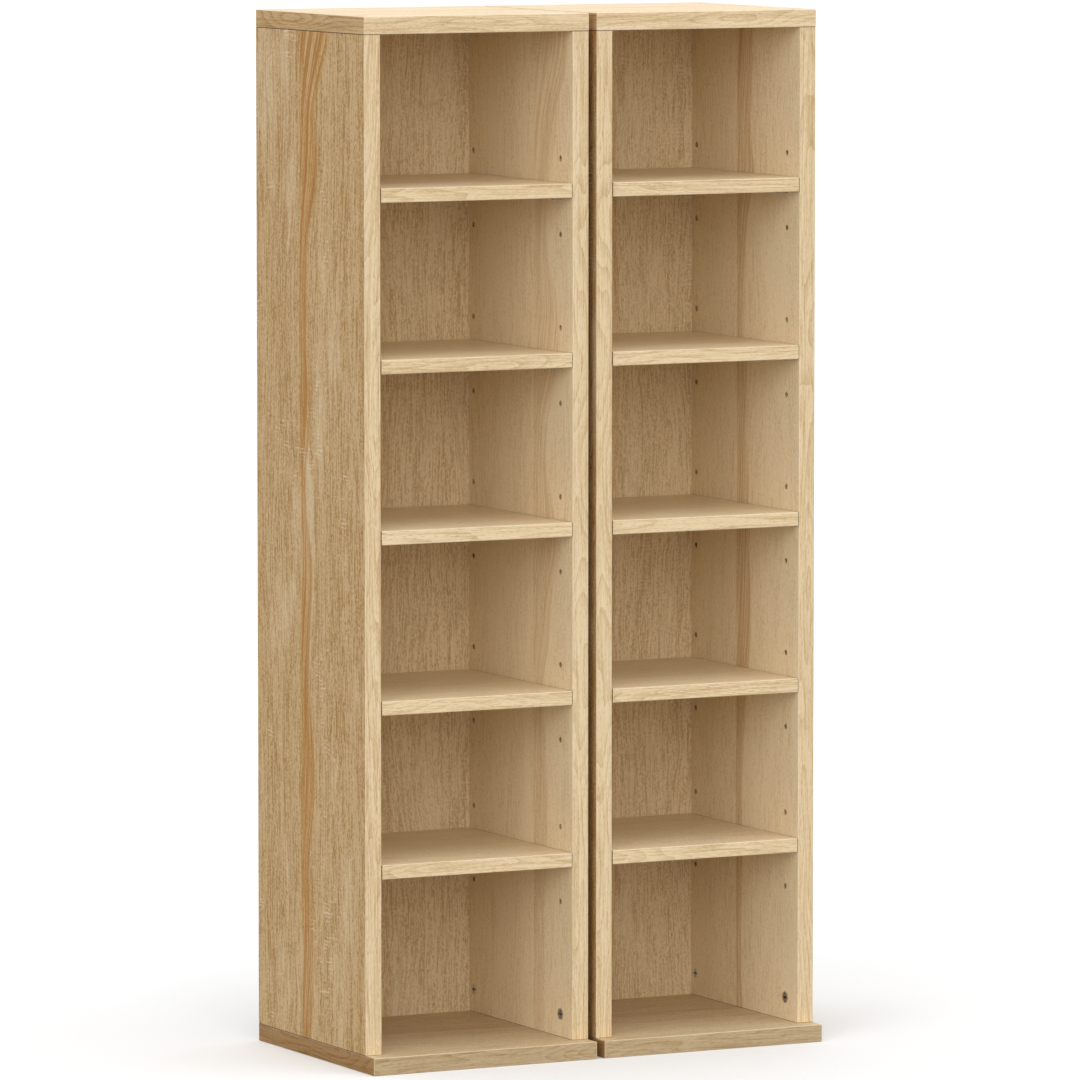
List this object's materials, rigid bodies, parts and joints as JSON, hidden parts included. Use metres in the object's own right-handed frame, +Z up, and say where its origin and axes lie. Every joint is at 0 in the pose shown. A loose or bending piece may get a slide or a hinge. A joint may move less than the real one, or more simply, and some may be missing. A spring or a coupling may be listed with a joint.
{
  "type": "cd and dvd rack",
  "caption": "Pair of slim free-standing open towers in light oak-look board, each with loose shelves on pins in drilled sides, for CD and DVD cases.",
  "frame": {"origin": "on the floor, in the middle of the pair's footprint, bases' overhang included", "axes": "+X to the right seen from the front, +Y to the back, +Z up"},
  "size_m": [0.4276, 0.226, 0.885],
  "materials": {
    "oak_board": "melamine-faced board with a printed light oak grain, satin",
    "oak_back": "thin hardboard, printed light oak in front, raw brown behind",
    "zinc_steel": "zinc-plated steel",
    "cam_zinc": "die-cast zinc alloy, dull dark grey",
    "dowel_wood": "plain beech",
    "plug_plastic": "moulded plastic in the board's colour"
  },
  "bodies": {
    "tower_1": {"tower_1_base_panel": "oak_board", "tower_1_left_side_panel": "oak_board", "tower_1_right_side_panel": "oak_board", "tower_1_back_panel": "oak_back", "tower_1_top_panel": "oak_board", "tower_1_shelf_1_pins": "zinc_steel", "tower_1_shelf_2_pins": "zinc_steel", "tower_1_shelf_3_pins": "zinc_steel", "tower_1_shelf_4_pins": "zinc_steel", "tower_1_shelf_5_pins": "zinc_steel", "tower_1_cam_locks": "cam_zinc", "tower_1_cam_bolts": "zinc_steel", "tower_1_base_dowels": "dowel_wood", "tower_1_top_dowels": "dowel_wood", "tower_1_top_screws": "zinc_steel", "tower_1_cover_plugs": "plug_plastic"},
    "tower_2": {"tower_2_base_panel": "oak_board", "tower_2_left_side_panel": "oak_board", "tower_2_right_side_panel": "oak_board", "tower_2_back_panel": "oak_back", "tower_2_top_panel": "oak_board", "tower_2_shelf_1_pins": "zinc_steel", "tower_2_shelf_2_pins": "zinc_steel", "tower_2_shelf_3_pins": "zinc_steel", "tower_2_shelf_4_pins": "zinc_steel", "tower_2_shelf_5_pins": "zinc_steel", "tower_2_cam_locks": "cam_zinc", "tower_2_cam_bolts": "zinc_steel", "tower_2_base_dowels": "dowel_wood", "tower_2_top_dowels": "dowel_wood", "tower_2_top_screws": "zinc_steel", "tower_2_cover_plugs": "plug_plastic"},
    "tower_1_shelf_1": {"tower_1_shelf_1": "oak_board"},
    "tower_1_shelf_2": {"tower_1_shelf_2": "oak_board"},
    "tower_1_shelf_3": {"tower_1_shelf_3": "oak_board"},
    "tower_1_shelf_4": {"tower_1_shelf_4": "oak_board"},
    "tower_1_shelf_5": {"tower_1_shelf_5": "oak_board"},
    "tower_2_shelf_1": {"tower_2_shelf_1": "oak_board"},
    "tower_2_shelf_2": {"tower_2_shelf_2": "oak_board"},
    "tower_2_shelf_3": {"tower_2_shelf_3": "oak_board"},
    "tower_2_shelf_4": {"tower_2_shelf_4": "oak_board"},
    "tower_2_shelf_5": {"tower_2_shelf_5": "oak_board"}
  },
  "joints": [
    {"name": "tower_2_moved_aside", "type": "slide", "parent": "tower_1", "child": "tower_2", "axis": [1, 0, 0], "range_m": [0, 0.3]},
    {"name": "tower_1_shelf_1_drawn_out", "type": "slide", "parent": "tower_1", "child": "tower_1_shelf_1", "axis": [0, -1, 0], "range_m": [0, 0.21]},
    {"name": "tower_1_shelf_2_drawn_out", "type": "slide", "parent": "tower_1", "child": "tower_1_shelf_2", "axis": [0, -1, 0], "range_m": [0, 0.21]},
    {"name": "tower_1_shelf_3_drawn_out", "type": "slide", "parent": "tower_1", "child": "tower_1_shelf_3", "axis": [0, -1, 0], "range_m": [0, 0.21]},
    {"name": "tower_1_shelf_4_drawn_out", "type": "slide", "parent": "tower_1", "child": "tower_1_shelf_4", "axis": [0, -1, 0], "range_m": [0, 0.21]},
    {"name": "tower_1_shelf_5_drawn_out", "type": "slide", "parent": "tower_1", "child": "tower_1_shelf_5", "axis": [0, -1, 0], "range_m": [0, 0.21]},
    {"name": "tower_2_shelf_1_drawn_out", "type": "slide", "parent": "tower_2", "child": "tower_2_shelf_1", "axis": [0, -1, 0], "range_m": [0, 0.21]},
    {"name": "tower_2_shelf_2_drawn_out", "type": "slide", "parent": "tower_2", "child": "tower_2_shelf_2", "axis": [0, -1, 0], "range_m": [0, 0.21]},
    {"name": "tower_2_shelf_3_drawn_out", "type": "slide", "parent": "tower_2", "child": "tower_2_shelf_3", "axis": [0, -1, 0], "range_m": [0, 0.21]},
    {"name": "tower_2_shelf_4_drawn_out", "type": "slide", "parent": "tower_2", "child": "tower_2_shelf_4", "axis": [0, -1, 0], "range_m": [0, 0.21]},
    {"name": "tower_2_shelf_5_drawn_out", "type": "slide", "parent": "tower_2", "child": "tower_2_shelf_5", "axis": [0, -1, 0], "range_m": [0, 0.21]}
  ]
}
